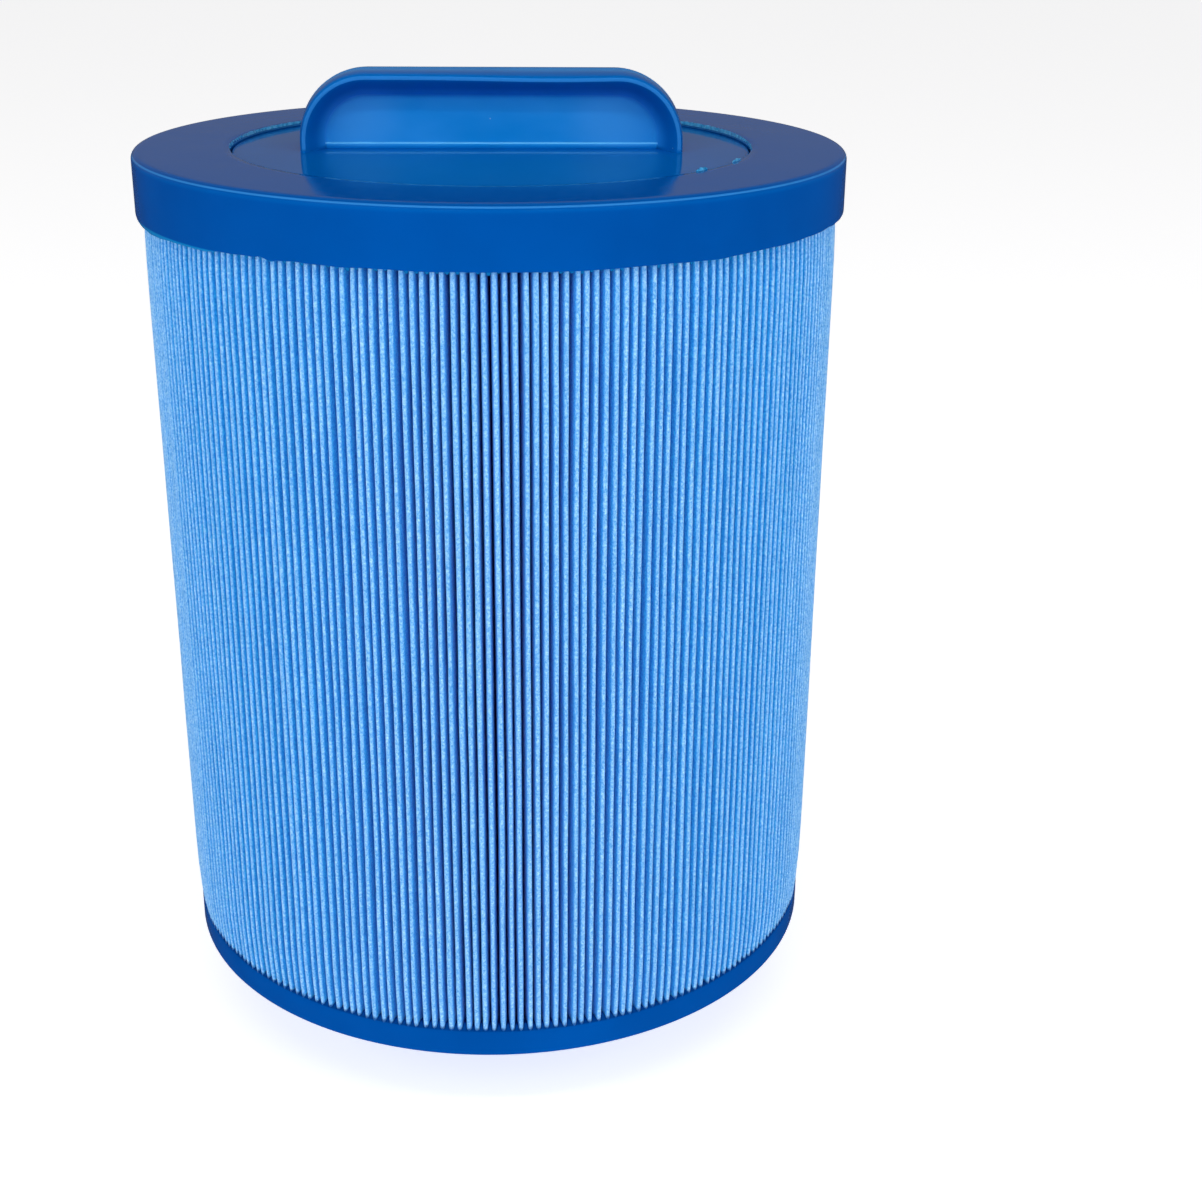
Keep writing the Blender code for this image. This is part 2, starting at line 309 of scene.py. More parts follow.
def pleat_tips():
    """Height of each row, and each pleat's crest at each row as (angle, radius, half width)."""
    random = np.random.default_rng(11)
    heights = np.linspace(BASE_TOP_Z - POTTED_DEPTH, SKIRT_Z + POTTED_DEPTH, STRIP_ROWS)
    # The crests have already sprung out part of the way where the skirt hides them.
    free = np.clip(np.minimum(heights - BASE_TOP_Z, SKIRT_Z - heights + FOLD_RELEASE), 0.0, None)
    bulge = FOLD_BULGE * (1.0 - np.exp(-free / FOLD_RELEASE))
    steady = random.uniform(-0.00017, 0.00017, (PLEAT_COUNT, 1))
    sideways = steady + 0.00016 * drift(random, 4, STRIP_ROWS) + 0.00008 * drift(random, 12, STRIP_ROWS)
    in_and_out = 0.00014 * drift(random, 3, STRIP_ROWS) + 0.00005 * drift(random, 14, STRIP_ROWS)
    radius = FOLD_RADIUS_OUT + bulge[None, :] + in_and_out
    angle = EVEN_ANGLE + sideways / radius
    own = random.uniform(-0.12, 0.12, (PLEAT_COUNT, 1))
    waves = 0.12 * drift(random, 3, STRIP_ROWS) + 0.20 * drift(random, 14, STRIP_ROWS)
    width = TIP_HALF_WIDTH * (1.0 + own + waves)
    return heights, angle, radius, width


HEIGHTS, TIP_ANGLE, TIP_RADIUS, TIP_WIDTH = pleat_tips()
OUTSIDE_POINTS = 10
INSIDE_POINTS = 4
WALL_POINTS = (  # two points on each side of a pleat, their depth, clearance and share of the crest's lean
    (1, 9, 0.0140, 0.00006, 0.5),
    (2, 8, 0.0032, 0.00016, 0.8),
)


def strip_outside():
    """Angles and radii of the strip's outer face: valley, wall, rounded crest and wall for each pleat."""
    lean = TIP_ANGLE - EVEN_ANGLE
    angles = np.empty((PLEAT_COUNT, OUTSIDE_POINTS, STRIP_ROWS))
    radii = np.empty_like(angles)
    angles[:, 0] = EVEN_ANGLE - PITCH / 2
    radii[:, 0] = FOLD_RADIUS_IN + FABRIC_THICKNESS
    for first, second, depth, clearance, follow in WALL_POINTS:
        for point, side in ((first, -1), (second, 1)):
            radii[:, point] = TIP_RADIUS - depth
            width = PITCH / 2 * radii[:, point] - clearance
            angles[:, point] = EVEN_ANGLE + follow * lean + side * width / radii[:, point]
    for point, degrees in zip(range(3, 8), (-90, -48, 0, 48, 90)):
        turn = math.radians(degrees)
        radii[:, point] = TIP_RADIUS - TIP_WIDTH * (1.0 - math.cos(turn))
        angles[:, point] = TIP_ANGLE + TIP_WIDTH * math.sin(turn) / radii[:, point]
    # The strip's two ends meet in place of the first pleat, on a floor under the adhesive.
    radii[-1, 8:] = np.maximum(radii[-1, 8:], SEAM_FLOOR)
    radii[1, :3] = np.maximum(radii[1, :3], SEAM_FLOOR)
    radii[0] = SEAM_FLOOR
    angles[0] = math.pi / 2 + PITCH * np.linspace(-0.5, 0.4, OUTSIDE_POINTS)[:, None]
    return angles, radii


def strip_inside():
    """Angles and radii of the strip's inner face: inner fold, wall, crest and wall for each pleat."""
    angles = np.empty((PLEAT_COUNT, INSIDE_POINTS, STRIP_ROWS))
    radii = np.empty_like(angles)
    angles[:, 0] = EVEN_ANGLE - PITCH / 2
    radii[:, 0] = FOLD_RADIUS_IN
    for point, side in ((1, -1), (3, 1)):
        radii[:, point] = FOLD_RADIUS_IN + 2 * FABRIC_THICKNESS
        angles[:, point] = EVEN_ANGLE + side * 0.00005 / FOLD_RADIUS_IN
    radii[:, 2] = TIP_RADIUS - FABRIC_THICKNESS
    angles[:, 2] = TIP_ANGLE
    seam_inside = SEAM_FLOOR - FABRIC_THICKNESS
    radii[-1, 3] = seam_inside
    radii[1, :2] = seam_inside
    radii[0] = seam_inside
    angles[0] = math.pi / 2 + PITCH * np.linspace(-0.5, 0.25, INSIDE_POINTS)[:, None]
    return angles, radii


def loop_corners(angles, radii):
    """Points of a face of the strip as rows of one loop round the axis."""
    x = radii * np.cos(angles)
    y = radii * np.sin(angles)
    z = np.broadcast_to(HEIGHTS, x.shape)
    corners = np.stack([x, y, z], axis=-1)
    return corners.reshape(-1, STRIP_ROWS, 3).transpose(1, 0, 2)


def wall_faces(ids, outwards):
    """Quads between neighbouring rows of a loop."""
    following = np.roll(ids, -1, axis=1)
    quads = np.stack([ids[:-1], following[:-1], following[1:], ids[1:]], axis=-1).reshape(-1, 4)
    return quads.tolist() if outwards else quads[:, ::-1].tolist()


def end_faces(outside, inside, upwards):
    """One face for each pleat, which closes the strip's cut edge between its two loops."""
    faces = []
    for i in range(PLEAT_COUNT):
        outer = [outside[(i * OUTSIDE_POINTS + j) % len(outside)] for j in range(OUTSIDE_POINTS + 1)]
        inner = [inside[(i * INSIDE_POINTS + j) % len(inside)] for j in range(INSIDE_POINTS + 1)]
        face = outer + inner[::-1]
        faces.append(face if upwards else face[::-1])
    return faces


def add_depth(mesh, inside_points):
    """An attribute for the fabric's painted shade: how far each point lies below its crest, in millimetres.
    """
    crests = np.stack([TIP_RADIUS] * OUTSIDE_POINTS, axis=1)
    below = (crests - strip_outside()[1]).reshape(-1, STRIP_ROWS).T
    depth = np.concatenate([below.ravel(), np.full(inside_points, 0.03)])
    layer = mesh.attributes.new("depth", "FLOAT", "POINT")
    layer.data.foreach_set("value", (1000.0 * depth).astype(np.float32))


def make_pleated_media(material):
    """One strip of fabric folded into pleats and closed into a ring, as a thin closed solid."""
    outer = loop_corners(*strip_outside())
    inner = loop_corners(*strip_inside())
    outer_ids = np.arange(outer.shape[0] * outer.shape[1]).reshape(outer.shape[:2])
    inner_ids = outer_ids.size + np.arange(inner.shape[0] * inner.shape[1]).reshape(inner.shape[:2])
    faces = wall_faces(outer_ids, True) + wall_faces(inner_ids, False)
    faces += end_faces(outer_ids[-1].tolist(), inner_ids[-1].tolist(), True)
    faces += end_faces(outer_ids[0].tolist(), inner_ids[0].tolist(), False)
    mesh = bpy.data.meshes.new("pleated_strip")
    mesh.from_pydata(np.concatenate([outer.reshape(-1, 3), inner.reshape(-1, 3)]).tolist(), [], faces)
    add_depth(mesh, inner_ids.size)
    media = add_piece("pleated_strip", mesh, [material], "pleated_media", 60.0)
    return media


def pleat_columns(row):
    """Angles of columns that follow the crests at one end, each with its crest's radius and its share
    of the way out of the valley: 1 on the crest and 0 half way to the next one."""
    crest = TIP_ANGLE[:, row]
    following = np.roll(crest, -1)
    following[-1] += 2 * math.pi
    share = np.arange(COLUMNS_PER_PLEAT) / COLUMNS_PER_PLEAT
    angles = (crest[:, None] * (1 - share) + following[:, None] * share).ravel()
    radius = TIP_RADIUS[:, row]
    radii = (radius[:, None] * (1 - share) + np.roll(radius, -1)[:, None] * share).ravel()
    out = np.tile(smooth(np.clip(np.abs(1 - 2 * share) * 3.0 - 1.0, 0.0, 1.0)), PLEAT_COUNT)
    out[: COLUMNS_PER_PLEAT // 2] = 0.0
    out[-COLUMNS_PER_PLEAT // 2 :] = 0.0
    return angles, radii, out


def potting_profiles(radii, out, face_z, reach, away):
    """Cured polyurethane round the pleats' ends, from outside to inside. It stays low under each crest
    and swells by reach in each valley. away is 1 on the bottom cap and -1 under the top cap."""
    points = []
    for inwards, swell in (
        (-0.00012, 0.05),
        (0.00012, 0.35),
        (0.00034, 0.75),
        (0.00070, 1.00),
        (0.00140, 0.95),
        (0.00320, 0.60),
    ):
        height = face_z + away * swell * (1 - out) * reach
        points.append(np.stack([radii - inwards, height], axis=-1))
    return points


def valley_swell(seed, lowest, highest):
    """How far the potting swells up in each valley, at random from pleat to pleat."""
    random = np.random.default_rng(seed)
    swell = random.uniform(lowest, highest, PLEAT_COUNT)
    return np.repeat(swell, COLUMNS_PER_PLEAT)


def column_points(points, columns):
    """The same (radius, z) points in every column."""
    return [np.broadcast_to(np.array(point), (columns, 2)) for point in points]


# ---------------------------------------- pieces


def seam_sliver(start, end, height, width, seed):
    """A sliver of cast flash that stands up along the seam between cap and plate, from angle to angle."""
    steps = max(8, int(abs(end - start) * 1.5))
    random = np.random.default_rng(seed)
    rings = []
    for i in range(steps + 1):
        share = i / steps
        body = math.sin(math.pi * min(max(share, 0.03), 0.97)) ** 0.5
        body *= 0.65 + 0.35 * random.random()
        angle = math.radians(start + (end - start) * share)
        middle = PLATE_RADIUS + 0.0004 + random.uniform(-0.0001, 0.0001)
        outline = (
            (middle - width * body / 2, TOP_Z - 0.0004),
            (middle + width * body / 2, TOP_Z - 0.0004),
            (middle + 0.3 * width * body, TOP_Z + 0.6 * height * body),
            (middle, TOP_Z + height * body),
        )
        rings.append([(radius * math.cos(angle), radius * math.sin(angle), z) for radius, z in outline])
    return loft("seam_sliver", rings)


def joined(name, meshes, material_indices):
    """One mesh made of several closed ones, each with its own material index."""
    work = bmesh.new()
    for mesh, index in zip(meshes, material_indices):
        before = len(work.faces)
        work.from_mesh(mesh)
        work.faces.ensure_lookup_table()
        for face in work.faces[before:]:
            face.material_index = index
    return mesh_from(work, name)


def make_top_end_cap(material, flash_material):
    """Cast ring: soft rim, slightly uneven skirt edge, and potting that creeps down the pleats."""
    angles, radii, out = pleat_columns(STRIP_ROWS - 1)
    columns = len(angles)
    seat = PLATE_RADIUS + GAP
    under_plate = PLATE_Z - PLATE_THICKNESS - GAP
    upper = [
        (seat, PLATE_Z - 0.0004),
        (seat - 0.00003, PLATE_Z + 0.0002),
        (seat + 0.00002, TOP_Z - 0.00034),
        (seat + 0.00012, TOP_Z - 0.00012),
        (seat + 0.00034, TOP_Z - 0.00002),
        (seat + 0.0020, TOP_Z),
        (0.5 * (seat + CAP_RADIUS), TOP_Z - 0.00003),
        (CAP_RADIUS - RIM_ROUNDING - 0.0010, TOP_Z),
        *arc(CAP_RADIUS - RIM_ROUNDING, TOP_Z - RIM_ROUNDING, RIM_ROUNDING, 90, 0, 9),
        (CAP_RADIUS, TOP_Z - 0.0060),
    ]
    edge = arc(CAP_RADIUS - 0.0004, SKIRT_Z + 0.0004, 0.0004, 0, -90, 5)
    edge_points = []
    uneven = 0.00012 * wander(angles, 5, 14, 5) + 0.00007 * wander(angles, 6, 24, 31)
    uneven -= sags(angles, SKIRT_SAGS)
    for radius, z in [(CAP_RADIUS, SKIRT_Z + 0.0016), *edge, (CAP_RADIUS - 0.0012, SKIRT_Z + 0.00005)]:
        share = 0.4 if z > SKIRT_Z + 0.001 else 1.0
        edge_points.append(np.stack([np.full(columns, radius), z + share * (uneven + 0.00025)], axis=-1))
    reach = valley_swell(8, 0.0002, 0.0010) + sags(angles, POTTING_SAGS)
    potting = potting_profiles(radii, out, SKIRT_Z + 0.0001, reach, -1)
    hidden = [
        (FOLD_RADIUS_OUT - 0.0060, SKIRT_Z + 0.0004),
        (CORE_RADIUS + GAP, SKIRT_Z + 0.0004),
        (CORE_RADIUS + GAP, under_plate),
        (seat, under_plate),
    ]
    points = [*column_points(upper, columns), *edge_points, *potting, *column_points(hidden, columns)]
    ring = ring_mesh("top_cap", angles, np.stack(points, axis=1))
    slivers = [seam_sliver(*sizes, seed) for seed, sizes in enumerate(SEAM_SLIVERS, 21)]
    mesh = joined("top_cap", [ring, *slivers], [0] + [1] * len(slivers))
    return add_piece("top_cap", mesh, [material, flash_material], "top_end_cap")


def handle_outline(inset, corner_steps=20, top_steps=24):
    """The handle's arch in (x, z), from one foot over the top to the other, moved inwards by inset."""
    foot_z = PLATE_Z - HANDLE_ROOT
    centre_x = HANDLE_WIDTH / 2 - HANDLE_CORNER_RADIUS
    centre_z = HANDLE_TOP_Z - HANDLE_CORNER_RADIUS
    radius = HANDLE_CORNER_RADIUS - inset
    turns = [math.pi / 2 * i / corner_steps for i in range(corner_steps + 1)]
    right = [(centre_x + radius * math.cos(a), centre_z + radius * math.sin(a)) for a in turns]
    left = [(-x, z) for x, z in reversed(right)]
    top_z = centre_z + radius
    top = [(centre_x * (1 - 2 * i / top_steps), top_z) for i in range(1, top_steps)]
    side_x = HANDLE_WIDTH / 2 - inset
    middle_z = (foot_z + centre_z) / 2
    return [(side_x, foot_z), (side_x, middle_z), *right, *top, *left, (-side_x, middle_z), (-side_x, foot_z)]


def handle_stations():
    """(y, inset) pairs from the web's front face, up the cove, round the lip and over the rim to the back."""
    depth = HANDLE_HALF_DEPTH
    cove = [(-WEB_HALF_THICKNESS, 0.0066), (-WEB_HALF_THICKNESS, 0.0061), (-0.0014, 0.0057)]
    cove += [(-0.0018, 0.0054), (-0.0030, 0.0048), (-0.0046, 0.0039), (-0.0062, 0.0030), (-0.0073, 0.0023)]
    lip = [(-0.0077, 0.00195), (-0.00795, 0.00165), (-depth, 0.00135), (-0.00795, 0.00100)]
    lip += [(-0.0077, 0.00072), (-0.0072, 0.00052), (-0.0050, 0.00030), (-0.0022, 0.00009)]
    front = cove + lip
    return [*front, (0.0, 0.0), *[(-y, inset) for y, inset in reversed(front)]]


def make_handle_mesh():
    """Web and rim as a loft of arches, with a front lip that hangs a little to the right of its middle."""
    rings = []
    for y, inset in handle_stations():
        forward = max(0.0, -y / HANDLE_HALF_DEPTH) ** 2
        ring = []
        for x, z in handle_outline(inset):
            hang = math.exp(-(((x - LIP_SAG_PLACE) / LIP_SAG_WIDTH) ** 2)) * forward
            raised = max(0.0, (z - PLATE_Z - LIP_SAG_START) / (HANDLE_TOP_Z - PLATE_Z - LIP_SAG_START))
            ring.append((x, y, z - LIP_SAG * hang * min(1.0, raised)))
        rings.append(ring)
    return loft("handle", rings)


def web_foot(side):
    """The fillet along the web's foot, its fine upper step, and one small knot near its middle."""
    random = np.random.default_rng(31 if side < 0 else 32)
    half = HANDLE_WIDTH / 2 - 0.0056
    places = np.linspace(-half, half, 81)
    wave = np.convolve(random.uniform(-1, 1, 85), np.ones(5) / 5, mode="valid")
    knot = np.exp(-(((places - 0.0002) / 0.0011) ** 2)) if side < 0 else np.zeros(81)
    web = WEB_HALF_THICKNESS
    rings = []
    for x, swell, lump in zip(places, wave, knot):
        high = WEB_FOOT_HEIGHT * (1.0 + 0.12 * swell)
        step = 0.00022 * (1.0 + 0.4 * swell + 1.6 * lump)
        outline = [
            (0.0, -0.0006),
            (0.0, high + 0.0001),
            (web, high + 0.00008),
            (web + step, high - 0.00004),
            (web + 1.3 * step, high - 0.00024),
            (web + 0.62 * WEB_FOOT_REACH, 0.40 * high),
            (web + WEB_FOOT_REACH, 0.00006),
            (web + WEB_FOOT_REACH, -0.0006),
        ]
        rings.append([(x, side * y, PLATE_Z + z) for y, z in outline])
    return loft("web_foot", rings)


def handle_flash():
    """A thin remnant of flash along the parting line on top of the handle."""
    random = np.random.default_rng(41)
    places = np.linspace(-0.0072, 0.0018, 25)
    taper = np.sin(np.linspace(0.12, math.pi - 0.12, 25)) ** 0.4
    radii = 0.00034 * taper * (0.65 + 0.35 * random.random(25))
    turns = [math.pi / 3 * j for j in range(6)]
    y, z = -0.0016, HANDLE_TOP_Z - 0.00036
    rings = [[(x, y + r * math.cos(a), z + r * math.sin(a)) for a in turns] for x, r in zip(places, radii)]
    return loft("handle_flash", rings)


def make_handle_plate(material):
    """Moulded plate, spigot and handle as one solid."""
    underside = PLATE_Z - PLATE_THICKNESS
    rounding = PLATE_EDGE_ROUNDING
    profile = [
        (0.0, PLATE_Z),
        (PLATE_RADIUS * 0.5, PLATE_Z),
        (PLATE_RADIUS - 0.0010, PLATE_Z),
        *arc(PLATE_RADIUS - rounding, PLATE_Z - rounding, rounding, 90, 0, 5),
        (PLATE_RADIUS, underside),
        (SPIGOT_OUTER_RADIUS, underside),
        (SPIGOT_OUTER_RADIUS, underside - SPIGOT_DEPTH + 0.0005),
        (SPIGOT_OUTER_RADIUS - 0.0005, underside - SPIGOT_DEPTH),
        (SPIGOT_INNER_RADIUS, underside - SPIGOT_DEPTH),
        (SPIGOT_INNER_RADIUS, underside - 0.0006),
        (SPIGOT_INNER_RADIUS - 0.0006, underside),
        (0.0, underside),
    ]
    plate = cleaned(turned_mesh("plate", profile, TURNED_STEPS))
    additions = [make_handle_mesh(), web_foot(-1), web_foot(1), handle_flash()]
    mesh = united("handle_and_plate", plate, additions)
    return add_piece("handle_and_plate", mesh, [material], "handle_plate", 30.0)


def make_core_lattice(material):
    """Perforated tube: a coarse lattice with its windows left out, thickened and then rounded."""
    steps = 3 * WINDOW_COLUMNS
    open_height = CORE_HIGH.z - CORE_LOW.z - 2 * CORE_END_BAND - (WINDOW_ROWS - 1) * CORE_RIB
    window = open_height / WINDOW_ROWS
    levels = [CORE_HIGH.z, CORE_HIGH.z - 0.0010]
    for i in range(WINDOW_ROWS):
        window_top = CORE_HIGH.z - CORE_END_BAND - i * (window + CORE_RIB)
        levels += [window_top, window_top - window]
    levels += [CORE_LOW.z + 0.0010, CORE_LOW.z]
    work = bmesh.new()
    rows = []
    for z in levels:
        row = []
        for i in range(steps):
            angle = 2 * math.pi * i / steps
            row.append(work.verts.new((CORE_RADIUS * math.cos(angle), CORE_RADIUS * math.sin(angle), z)))
        rows.append(row)
    for k, (upper, lower) in enumerate(zip(rows, rows[1:])):
        has_windows = k % 2 == 0 and 2 <= k < len(rows) - 3
        for i in range(steps):
            if has_windows and i % 3 != 0:
                continue
            following = (i + 1) % steps
            work.faces.new((upper[i], lower[i], lower[following], upper[following]))
    shell = placed("core_lattice", mesh_from(work, "core_lattice"))
    wall = shell.modifiers.new("wall", "SOLIDIFY")
    wall.thickness = CORE_WALL
    wall.offset = -1.0
    wall.use_even_offset = True
    rounded = shell.modifiers.new("rounded", "SUBSURF")
    rounded.levels = 2
    rounded.render_levels = 2
    graph = bpy.context.evaluated_depsgraph_get()
    final = bpy.data.meshes.new_from_object(shell.evaluated_get(graph))
    final.name = "core_lattice"
    bpy.data.objects.remove(shell)
    return add_piece("core_lattice", final, [material], "centre_core")


def make_seam_bead(material):
    """Adhesive along the strip's joint: a bead that swells and narrows on its way up."""
    random = np.random.default_rng(51)
    radius = (BEAD_HIGH.x - BEAD_LOW.x) / 2
    rows = 90
    heights = np.linspace(BEAD_LOW.z, BEAD_HIGH.z, rows)
    swell = np.convolve(random.uniform(-1, 1, rows + 6), np.ones(7) / 7, mode="valid")
    side = np.convolve(random.uniform(-1, 1, rows + 12), np.ones(13) / 13, mode="valid")
    rings = []
    for i, z in enumerate(heights):
        size = radius * (0.90 + 0.20 * swell[i])
        if i in (0, rows - 1):
            size *= 0.5
        ring = []
        for j in range(14):
            turn = 2 * math.pi * j / 14
            x = size * math.cos(turn) + 0.0003 * side[i]
            y = max(size * math.sin(turn), -0.55 * size)
            ring.append((x, (BEAD_LOW.y + BEAD_HIGH.y) / 2 + y - 0.0003, z))
        rings.append(ring)
    mesh = loft("seam_adhesive_bead", rings)
    return add_piece("seam_adhesive_bead", mesh, [material], "media_seam_bead")


def make_base_cap(material):
    """Cast disc: thin side, round groove, raised inner disc and boss, and potting up each pleat."""
    angles, radii, out = pleat_columns(0)
    columns = len(angles)
    potting = potting_profiles(radii, out, BASE_TOP_Z, valley_swell(9, 0.0004, 0.0013), 1)[::-1]
    corner = 0.0009
    disc_z = BASE_Z - INNER_DISC_RISE
    lower = [
        (BASE_RADIUS - 0.00025, BASE_TOP_Z - 0.0001),
        (BASE_RADIUS - 0.00006, BASE_TOP_Z - 0.0004),
        (BASE_RADIUS, BASE_TOP_Z - 0.0010),
        *arc(BASE_RADIUS - corner, BASE_Z + corner, corner, 0, -90, 7),
        (GROOVE_OUTER_RADIUS + 0.0006, BASE_Z),
        *arc(GROOVE_OUTER_RADIUS + 0.0003, BASE_Z + 0.0003, 0.0003, -90, -180, 4),
        (GROOVE_OUTER_RADIUS, BASE_Z + GROOVE_DEPTH - 0.0003),
        (GROOVE_OUTER_RADIUS - 0.0003, BASE_Z + GROOVE_DEPTH),
        (GROOVE_INNER_RADIUS + 0.0003, BASE_Z + GROOVE_DEPTH),
        (GROOVE_INNER_RADIUS, BASE_Z + GROOVE_DEPTH - 0.0003),
        *arc(GROOVE_INNER_RADIUS - 0.0005, disc_z + 0.0005, 0.0005, 0, -90, 5),
        (GROOVE_INNER_RADIUS - 0.0020, disc_z),
        *arc(BOSS_RADIUS + 0.0016, disc_z - 0.0016, 0.0016, 90, 180, 6),
        *arc(BOSS_RADIUS - 0.0008, BOSS_Z + 0.0008, 0.0008, 0, -90, 6),
        (COLLAR_RADIUS + GAP + 0.0004, BOSS_Z),
        (COLLAR_RADIUS + GAP, BOSS_Z + 0.0004),
        (COLLAR_RADIUS + GAP, FLANGE_LOW_Z - GAP),
        (CORE_RADIUS + GAP, FLANGE_LOW_Z - GAP),
        (CORE_RADIUS + GAP, BASE_TOP_Z - 0.0003),
        (FOLD_RADIUS_OUT - 0.0060, BASE_TOP_Z - 0.0003),
    ]
    points = [*potting, *column_points(lower, columns)]
    mesh = ring_mesh("base_cap", angles, np.stack(points, axis=1))
    return add_piece("base_cap", mesh, [material], "bottom_end_cap")


def thread_height(z, angles):
    """How far the thread stands out at a height: 0 at the root, 1 at the crest."""
    start, end = END_CHAMFER, END_CHAMFER + THREAD_LENGTH
    if not start < z < end:
        return np.zeros_like(angles)
    phase = (z / THREAD_PITCH - angles / (2 * math.pi)) % 1.0
    tooth = smooth(np.clip(1.85 - np.abs(phase - 0.5) * 4.6, 0.0, 1.0))
    run_out = min(1.0, (z - start) / (0.6 * THREAD_PITCH), (end - z) / (0.4 * THREAD_PITCH))
    return tooth * run_out


def make_threaded_adapter(material):
    """Outlet fitting: buried flange, collar, right-handed helical thread, chamfered end and bore."""
    root = THREAD_CREST_RADIUS - THREAD_DEPTH
    rows = round(THREAD_LENGTH / THREAD_PITCH * THREAD_ROWS_PER_TURN)
    levels = [END_CHAMFER + THREAD_LENGTH * i / rows for i in range(rows + 1)]
    profile = [
        (BORE_RADIUS + 0.0004, 0.0),
        (BORE_RADIUS, 0.0004),
        (BORE_RADIUS, FLANGE_HIGH_Z),
        (SPIGOT_INNER_RADIUS, FITTING_HIGH.z),
        (SPIGOT_OUTER_RADIUS - 0.0004, FITTING_HIGH.z),
        (SPIGOT_OUTER_RADIUS, FITTING_HIGH.z - 0.0004),
        (SPIGOT_OUTER_RADIUS, FLANGE_HIGH_Z),
        (FLANGE_RADIUS, FLANGE_HIGH_Z),
        (FLANGE_RADIUS, FLANGE_LOW_Z),
        (COLLAR_RADIUS, FLANGE_LOW_Z),
        *arc(COLLAR_RADIUS - 0.0005, COLLAR_Z + 0.0005, 0.0005, 0, -90, 5),
        (root + 0.0003, COLLAR_Z),
        *[(root, z) for z in reversed(levels)],
        (root - 0.4 * END_CHAMFER, 0.0002),
        (root - 0.4 * END_CHAMFER - 0.0002, 0.0),
    ]

    def with_thread(angles, profiles):
        for point in range(profiles.shape[1]):
            if profiles[0, point, 0] == root:
                profiles[:, point, 0] += THREAD_DEPTH * thread_height(profiles[0, point, 1], angles)
        return profiles

    mesh = turned_mesh("outlet_fitting", profile, THREAD_STEPS, with_thread)
    return add_piece("outlet_fitting", mesh, [material], "threaded_adapter")


# ---------------------------------------- materials


BLUE_GLOSS = (0.15, 0.55, 1.0, 1.0)  # tint of head-on reflections on the dyed plastics


def colour_ramp(tree, value, stops):
    """A colour ramp; each stop is (place, grey) or (place, (r, g, b))."""
    node = tree.nodes.new("ShaderNodeValToRGB")
    elements = node.color_ramp.elements
    while len(elements) < len(stops):
        elements.new(0.5)
    for element, (place, colour) in zip(elements, stops):
        rgb = colour if isinstance(colour, tuple) else (colour, colour, colour)
        element.position = place
        element.color = (*rgb, 1.0)
    tree.links.new(value, node.inputs["Fac"])
    return node.outputs["Color"]


